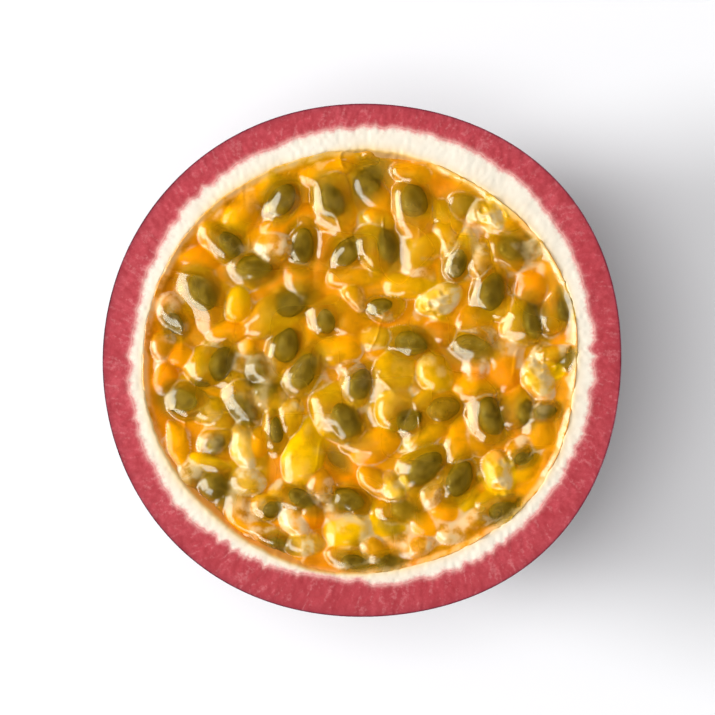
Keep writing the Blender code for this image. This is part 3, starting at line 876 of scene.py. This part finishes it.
def wet_surface(shape, x, y):
    """Height of the wet surface over points, and the shares in it of sacs, lumps and juice.

    The height is the soft maximum (1/k) * log(sum(exp(k * height))) of them all. Slow noise makes k
    small in places, where they melt together. Ridged noise, 1/2 - |grain|, folds the wrinkled
    patches. Noise bends the outlines, dents everything a little, and where it crosses zero a thin
    raised thread exp(-|grain| / 0.05) runs along."""
    bent_x = x + 0.45 * MM * grain(x, y, 2.9 * MM, 66)
    bent_y = y + 0.45 * MM * grain(x, y, 2.9 * MM, 67)
    heights = sac_heights(sac_layout(shape), bent_x, bent_y)
    lumps, lump_cloud, lump_orange, lump_veil = small_lumps(bent_x, bent_y)
    juice = juice_level(shape, x, y)
    crease = 1 / (MM * (0.09 + 0.20 * smooth_step(-0.2, 0.6, grain(x, y, 8 * MM, 52))))
    top = np.maximum(np.maximum(heights.max(0), lumps.max(0)), juice)
    sac_share = np.exp((heights - top) * crease)
    lump_share = np.exp((lumps - top) * crease)
    juice_share = np.exp((juice - top) * crease)
    total = sac_share.sum(0) + lump_share.sum(0) + juice_share
    height = top + np.log(total) / crease
    wrinkled = crinkles(x, y)
    folds = 0.5 - np.abs(grain(x + 0.5 * y, y - 0.3 * x, 1.1 * MM, 54))
    dents = 0.14 * grain(x, y, 2.4 * MM, 55) + 0.04 * grain(x + y, y - x, 1.5 * MM, 56)
    threads = np.exp(-np.abs(grain(bent_x, bent_y, 4.2 * MM, 68)) / 0.05)
    threads = threads * smooth_step(-0.1, 0.5, grain(x, y, 3.3 * MM, 69))
    height = height + MM * (dents + 0.20 * threads) + 0.38 * MM * folds * wrinkled
    sac_share, lump_share, juice_share = sac_share / total, lump_share / total, juice_share / total
    sac_looks = np.array(SACS).T[6:, :, None] / TENTHS
    lump_looks = np.stack([lump_cloud, lump_orange, lump_veil])
    juice_looks = np.array([0.7, 0.8, 0.0])[:, None] * juice_share
    looks = (sac_looks * sac_share).sum(1) + (lump_looks * lump_share).sum(1) + juice_looks
    seam = 1 - (sac_share**2).sum(0) - (lump_share**2).sum(0) - juice_share**2
    return height, looks, seam, wrinkled


def filled_bowl(shape, side, inset, steepest, top_height, top_paint):
    """A closed body that fills the hollow of the pith up to a surface given over a disc grid.

    The top point at polar place (r, a) is at r * (pith edge - inset), with its height from
    top_height(x, y) and its paint from top_paint(x, y). Below it, rings of the bowl lead down from
    an angle of steepest degrees to a pole, and are painted 0."""
    disc_x, disc_y = disc_grid(side)
    angle = np.arctan2(disc_y, disc_x).ravel()
    rim = pith_edge(shape, angle) - inset
    x, y = disc_x.ravel() * rim, disc_y.ravel() * rim
    top = np.stack([x, y, top_height(x, y)], -1)
    number = np.arange((side + 1) ** 2).reshape(side + 1, side + 1)
    quads = np.stack([number[:-1, :-1], number[:-1, 1:], number[1:, 1:], number[1:, :-1]], -1)
    border = np.concatenate([number[0, :-1], number[:-1, -1], number[-1, :0:-1], number[:0:-1, 0]])
    tips = np.radians(np.linspace(6, steepest, 6))
    low_radii, low_heights = bowl_rings(rim[border] - 0.1 * MM, shape.fruit_depth - PULP_BOTTOM, tips)
    low = np.stack([*polar(low_radii, angle[border]), low_heights], -1)
    pole = np.array([[0, 0, low_heights.min()]])
    points = np.concatenate([top, low.reshape(-1, 3), pole])
    points[:, 2] += CUT_HEIGHT
    columns = len(border)
    last_ring = len(top) + columns * (len(tips) - 1) + np.arange(columns)
    joint = np.stack([last_ring, np.roll(last_ring, -1), np.roll(border, -1), border], -1)
    quads = np.concatenate([quads.reshape(-1, 4), ring_faces(len(tips), columns, len(top)), joint])
    fan = fan_faces(len(top) + np.arange(columns), len(points) - 1, upward=False)
    rest = np.zeros(len(points) - len(top))
    paint = {key: np.append(values, rest) for key, values in top_paint(x, y).items()}
    return points, quads, fan, paint


def jelly_paint(shape, x, y):
    """How cloudy, orange, olive, dark, veiled and dull the jelly is over each point.

    Each sac and lump lends its own looks by its share in the wet surface. Over each seed the cloud
    thins out and darkens, from the seed's middle to a little beyond its outline. The pale veils are
    whitish membranes, with painted reflection along the seams between sacs and painted light beside
    the wall."""
    _, looks, seam, wrinkled = wet_surface(shape, x, y)
    cloud, orange, veil = looks
    angle, wall_gap = np.arctan2(y, x), wall_distance(shape, x, y)
    at_wall = smooth_step(1.5 * MM, 0.2 * MM, wall_gap) * (1 - dark_gap(angle))
    blobs = grain(x, y, 3.4 * MM, 57) + 0.45 * grain(x, y, 1.5 * MM, 58)
    cloud = np.maximum(0.45 + 0.55 * cloud * smooth_step(-1.1, 0.0, blobs), at_wall)
    olive, dark = np.zeros_like(x), np.zeros_like(x)
    for place_x, place_y, sink, heading, _, _, length, width in seed_layout(shape):
        along, across = turned(x - place_x, y - place_y, -heading)
        reach = np.hypot(along / (length / 2), across / (width / 2))
        shown = 1 - 0.5 * smooth_step(0.8 * MM, 1.4 * MM, sink)
        olive = np.maximum(olive, smooth_step(2.2, 0.95, reach) * shown)
        dark = np.maximum(dark, smooth_step(1.25, 0.55, reach) * shown)
    cloud = np.clip(cloud * (1 - 0.75 * olive), 0, 1)
    orange = np.clip(orange + 0.35 * grain(x, y, 5 * MM, 59), 0, 1) * (1 - 0.8 * wrinkled)
    orange = orange * (1 - 0.7 * at_wall * towards(angle, 85, 110))
    cloud = np.maximum(cloud, wrinkled)
    # Pale lines along the seams between sacs: thin membranes, with painted reflection of their folded edges.
    seam_skin_and_reflection = smooth_step(0.25, 0.5, seam) * smooth_step(-0.1, 0.5, grain(x, y, 2.7 * MM, 64))
    ragged = smooth_step(-0.35, 0.55, grain(x, y, 1.4 * MM, 60))
    # Painted light: the jelly paler beside the wall, away from the two dark gaps.
    painted_wall_light = 0.7 * smooth_step(0.9 * MM, 0.1 * MM, wall_gap) * (1 - dark_gap(angle))
    veil = smooth_step(0.12, 0.60, veil * (0.3 + 0.8 * ragged) + 0.45 * seam_skin_and_reflection)
    veil = np.maximum(veil, painted_wall_light) * (1 - 0.6 * dark)
    dull = smooth_step(-0.4, 0.6, grain(x, y, 4.6 * MM, 65))
    return {"cloud": cloud, "orange": orange, "olive": olive, "dark": dark, "veil": veil, "dull": dull}


def seed_layout(shape):
    """The seeds of the table, in metres and radians.

    Returns rows of x, y, sink below the surface, heading, lean, roll, length and width."""
    chance = np.random.default_rng(SEED_LOOKS_SEED)
    x, y, heading, length, width, sink = np.array(SEEDS).T
    x, y, length, width, sink = np.stack([x, y, length, width, sink]) / TENTHS * MM
    lean, roll = chance.uniform(-0.2, 0.2, len(x)), chance.uniform(-0.4, 0.4, len(x))
    length, width = length * shape.seed_size, width * shape.seed_size
    return np.stack([x, y, sink, np.radians(heading), lean, roll, length, width], -1)


def seed_body(shape):
    """All seeds as one set of closed flattened drops.

    A seed at tip t and turn a is (L cos t, W (1 - taper * cos t) sin t cos a, H sin t sin a), rolled,
    leaned and turned. Each one sinks until its whole upper side is under the wet surface."""
    tip = np.linspace(0, math.pi, SEED_ROWS + 2)[1:-1][:, None]
    sides = np.sin(tip) * np.stack(polar(1, ring_angles(SEED_COLUMNS)))[:, None]
    ball = np.stack([np.cos(tip) * np.ones(SEED_COLUMNS), *sides], -1).reshape(-1, 3)
    ball = np.concatenate([ball, [[1, 0, 0], [-1, 0, 0]]])
    x0, y0, sink, turn, lean, roll, length, width = seed_layout(shape).T[:, :, None]
    x = ball[:, 0] * length / 2
    y = ball[:, 1] * width / 2 * (1 - SEED_TAPER * ball[:, 0])
    z = ball[:, 2] * width * SEED_FLATNESS
    y, z = turned(y, z, roll)
    x, z = turned(x, z, lean)
    x, y = turned(x, y, turn)
    x, y = x + x0, y + y0
    surface = wet_surface(shape, x.ravel(), y.ravel())[0].reshape(x.shape)
    z = z + (surface - z).min(1, keepdims=True) - sink * SEED_SINK_SHARE
    points = np.stack([x, y, z + CUT_HEIGHT], -1).reshape(-1, 3)
    first = np.arange(0, len(points), len(ball))[:, None, None]
    quads = ring_faces(SEED_ROWS, SEED_COLUMNS) + first
    fans = end_fans(SEED_ROWS, SEED_COLUMNS) + first
    return points, quads.reshape(-1, 4), fans.reshape(-1, 3), {}


def juice_body(shape):
    """The thick juice under the clear jelly. Its top rolls in lumps well below the wet surface."""

    def height(x, y):
        lumps = 0.4 * MM * grain(x, y, 5 * MM, 61) + 0.4 * MM * (0.5 - np.abs(grain(x, y, 2.6 * MM, 62)))
        return -shape.bed_below_cut + lumps

    return filled_bowl(shape, BED_CELLS, BED_CLEARANCE, 62, height, lambda x, y: {})


def jelly_body(shape):
    """The clear jelly from the wet surface down to a pole far below it."""

    def height(x, y):
        return wet_surface(shape, x, y)[0]

    return filled_bowl(shape, JELLY_CELLS, -JELLY_OVERLAP, 80, height, lambda x, y: jelly_paint(shape, x, y))


# Operators


class MakeShell(bpy.types.Operator):
    """Make the red shell with its dark skin"""

    bl_idname = "fruit.make_shell"
    bl_label = "Shell"

    def execute(self, context):
        body = shell_body(context.scene.fruit_shape)
        return make_piece("fruit_shell", "shell", body, shell_finish(context.scene.fruit_colours))


class MakePith(bpy.types.Operator):
    """Make the white pith that lines the shell"""

    bl_idname = "fruit.make_pith"
    bl_label = "Pith"

    def execute(self, context):
        body = pith_body(context.scene.fruit_shape)
        return make_piece("fruit_pith", "pith", body, pith_finish(context.scene.fruit_colours))


class MakeJuice(bpy.types.Operator):
    """Make the thick juice that the seeds and sacs lie on"""

    bl_idname = "fruit.make_juice"
    bl_label = "Juice"

    def execute(self, context):
        body = juice_body(context.scene.fruit_shape)
        return make_piece("fruit_juice", "pulp", body, juice_finish(context.scene.fruit_colours))


class MakeSeeds(bpy.types.Operator):
    """Make the dark seeds in the jelly"""

    bl_idname = "fruit.make_seeds"
    bl_label = "Seeds"

    def execute(self, context):
        body = seed_body(context.scene.fruit_shape)
        return make_piece("fruit_seeds", "pulp", body, seed_finish(context.scene.fruit_colours))


class MakeSacs(bpy.types.Operator):
    """Make the clear jelly of the seed sacs"""

    bl_idname = "fruit.make_sacs"
    bl_label = "Seed sacs"

    def execute(self, context):
        body = jelly_body(context.scene.fruit_shape)
        return make_piece("fruit_sacs", "pulp", body, jelly_finish(context.scene.fruit_colours))


class MakeStage(bpy.types.Operator):
    """Make the floor, the soft lights and the camera"""

    bl_idname = "fruit.make_stage"
    bl_label = "Stage"

    def execute(self, context):
        scene = context.scene
        stage = scene.fruit_stage
        side = FLOOR_HALF_SIDE
        corners = [(-side, -side, 0), (side, -side, 0), (side, side, 0), (-side, side, 0)]
        mesh = bpy.data.meshes.new("floor")
        mesh.from_pydata(corners, [], [(0, 1, 2, 3)])
        finish = Finish("pale_floor", Roughness=0.7, Specular_IOR_Level=0.2)
        mesh.materials.append(finish.use(Base_Color=stage.floor))
        floor = bpy.data.objects.new("floor", mesh)
        scene.collection.objects.link(floor)

        world = bpy.data.worlds.new("soft_room")
        world.use_nodes = True
        background = world.node_tree.nodes["Background"]
        background.inputs["Color"].default_value = (1, 1, 1, 1)
        background.inputs["Strength"].default_value = EVEN_LIGHT
        world.cycles_visibility.glossy = False
        scene.world = world

        for light in LIGHTS:
            soft_light(*light)

        camera_data = bpy.data.cameras.new("camera")
        camera_data.sensor_width = SENSOR_WIDTH
        camera_data.lens = SENSOR_WIDTH * stage.camera_height / stage.view_width
        camera = bpy.data.objects.new("camera", camera_data)
        camera.location = (*CAMERA_PLACE, CUT_HEIGHT + stage.camera_height)
        scene.collection.objects.link(camera)
        scene.camera = camera
        scene.view_settings.view_transform = "Standard"
        return {"FINISHED"}


def soft_light(name, azimuth, zenith, size, power, tint, missed_by):
    """A flat light at an azimuth and an angle from straight up, turned to face the cut."""
    data = bpy.data.lights.new(name, "AREA")
    data.shape = "RECTANGLE"
    data.size, data.size_y = size
    data.energy = power
    data.color = tint
    light = bpy.data.objects.new(name, data)
    turn, lean = math.radians(azimuth), math.radians(zenith)
    away = Vector((math.cos(turn) * math.sin(lean), math.sin(turn) * math.sin(lean), math.cos(lean)))
    light.location = Vector((0, 0, CUT_HEIGHT)) + away * LIGHT_DISTANCE
    light.rotation_euler = away.to_track_quat("Z", "Y").to_euler()
    setattr(light, "visible_" + missed_by, False)
    bpy.context.scene.collection.objects.link(light)


class FruitPanel(bpy.types.Panel):
    """Lists the fruit's pieces, sizes and colours"""

    bl_idname = "VIEW3D_PT_passion_fruit"
    bl_label = "Passion Fruit Half"
    bl_space_type = "VIEW_3D"
    bl_region_type = "UI"
    bl_category = "Fruit"

    def draw(self, context):
        for operator in OPERATORS:
            self.layout.operator(operator.bl_idname)
        for key, group in GROUPS.items():
            box = self.layout.box()
            for value in group.__annotations__:
                box.prop(getattr(context.scene, key), value)


OPERATORS = (MakeShell, MakePith, MakeJuice, MakeSeeds, MakeSacs, MakeStage)
GROUPS = {"fruit_shape": FruitShape, "fruit_colours": FruitColours, "fruit_stage": FruitStage}
CLASSES = (*GROUPS.values(), *OPERATORS, FruitPanel)


def register():
    for each in CLASSES:
        bpy.utils.register_class(each)
    for key, group in GROUPS.items():
        setattr(bpy.types.Scene, key, bpy.props.PointerProperty(type=group))


def unregister():
    for key in GROUPS:
        delattr(bpy.types.Scene, key)
    for each in reversed(CLASSES):
        bpy.utils.unregister_class(each)


def main():
    register()
    bpy.ops.fruit.make_shell()
    bpy.ops.fruit.make_pith()
    bpy.ops.fruit.make_juice()
    bpy.ops.fruit.make_seeds()
    bpy.ops.fruit.make_sacs()
    bpy.ops.fruit.make_stage()


if __name__ == "__main__":
    main()
